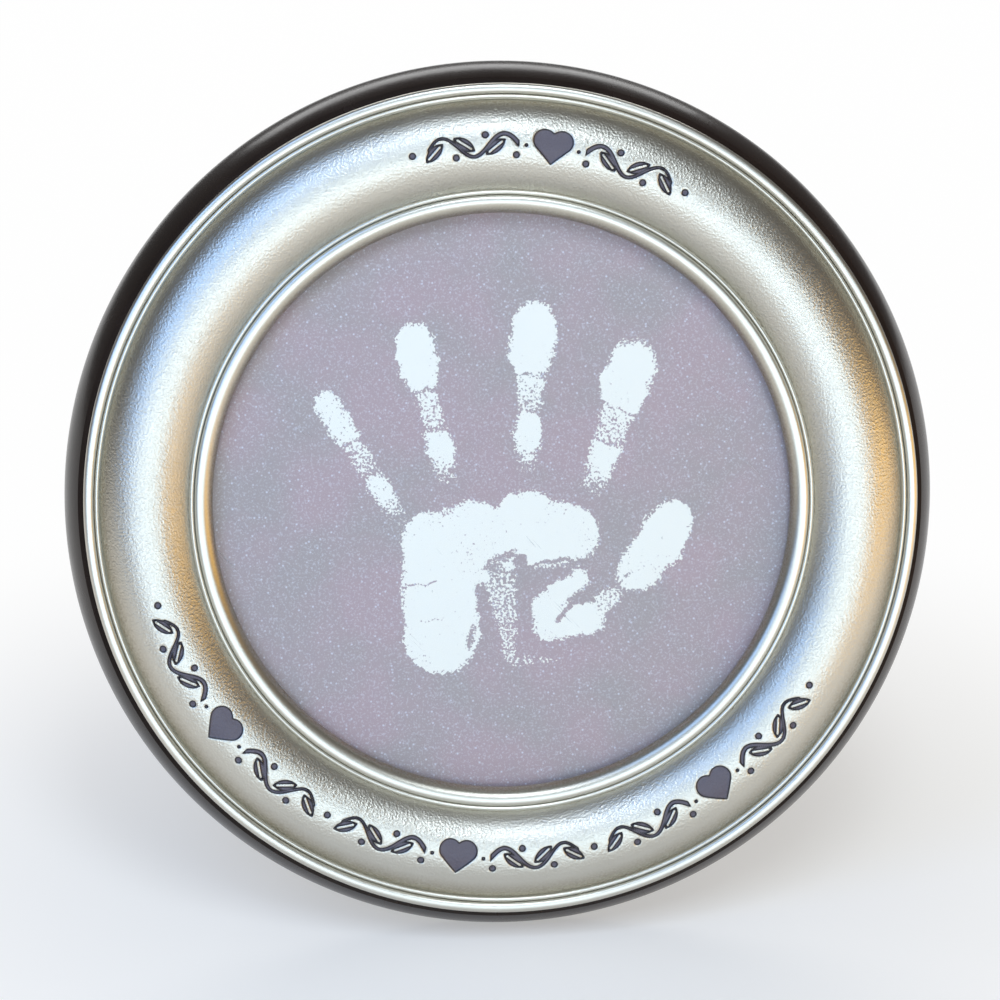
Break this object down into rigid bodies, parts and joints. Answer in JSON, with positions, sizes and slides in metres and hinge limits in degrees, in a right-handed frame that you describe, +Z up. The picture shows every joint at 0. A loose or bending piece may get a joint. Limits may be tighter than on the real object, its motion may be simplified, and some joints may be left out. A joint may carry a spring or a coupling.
{
  "type": "round tabletop picture frame",
  "caption": "Round metal-faced tabletop frame with a half-round moulding, glass, a baby's handprint card, a velvet back held by turn buttons, and a folding easel leg.",
  "frame": {"origin": "on the surface that the frame stands on, in the middle of its width and depth", "axes": "+Z up, -Y the way the picture faces, +X to the viewer's right"},
  "size_m": [0.152, 0.0634, 0.1473],
  "materials": {
    "pearl_nickel": "fine blasted, pearl nickel plated zinc casting",
    "brown_lacquer": "high gloss brown-black lacquer on fibreboard",
    "clear_glass": "clear float glass, seamed edge",
    "printed_card": "matt card with a white handprint",
    "grey_board": "soft grey board",
    "black_board": "dyed fibreboard",
    "black_velvet": "short pile velvet",
    "satin_ribbon": "woven satin ribbon",
    "nickel_steel": "nickel plated pressed steel",
    "zinc_screw": "zinc plated",
    "brass_rivet": "nickel brass, domed"
  },
  "bodies": {
    "frame": {"face_ring": "pearl_nickel", "carrier_ring": "brown_lacquer", "glass_lens": "clear_glass", "handprint_card": "printed_card", "filler_pad": "grey_board", "back_panel": "black_board", "back_velvet": "black_velvet", "face_screws": "zinc_screw", "button_washers": "zinc_screw", "button_screws": "zinc_screw", "hinge_leaf_panel": "nickel_steel", "hinge_pin": "nickel_steel", "hinge_rivets_panel": "brass_rivet", "stay_ribbon": "satin_ribbon", "stay_rivet_panel": "brass_rivet"},
    "leg": {"easel_leg": "black_board", "leg_velvet": "black_velvet", "hinge_leaf_leg": "nickel_steel", "hinge_rivets_leg": "brass_rivet", "stay_rivet_leg": "brass_rivet"},
    "button_upper_right": {"turn_button_upper_right": "nickel_steel"},
    "button_upper_left": {"turn_button_upper_left": "nickel_steel"},
    "button_lower_left": {"turn_button_lower_left": "nickel_steel"},
    "button_lower_right": {"turn_button_lower_right": "nickel_steel"}
  },
  "joints": [
    {"name": "turn_upper_right", "type": "hinge", "parent": "frame", "child": "button_upper_right", "pos_m": [0.04455, 0.01094, 0.11603], "axis": [0, 0.9659, -0.2588], "continuous": true},
    {"name": "turn_upper_left", "type": "hinge", "parent": "frame", "child": "button_upper_left", "pos_m": [-0.04455, 0.01094, 0.11603], "axis": [0, 0.9659, -0.2588], "continuous": true},
    {"name": "turn_lower_left", "type": "hinge", "parent": "frame", "child": "button_lower_left", "pos_m": [-0.04455, -0.01212, 0.02997], "axis": [0, 0.9659, -0.2588], "continuous": true},
    {"name": "turn_lower_right", "type": "hinge", "parent": "frame", "child": "button_lower_right", "pos_m": [0.04455, -0.01212, 0.02997], "axis": [0, 0.9659, -0.2588], "continuous": true},
    {"name": "leg_hinge", "type": "hinge", "parent": "frame", "child": "leg", "pos_m": [0, 0.00987, 0.10643], "axis": [1, 0, 0], "range_deg": [-25, 0], "deforming": ["stay_ribbon"]}
  ]
}
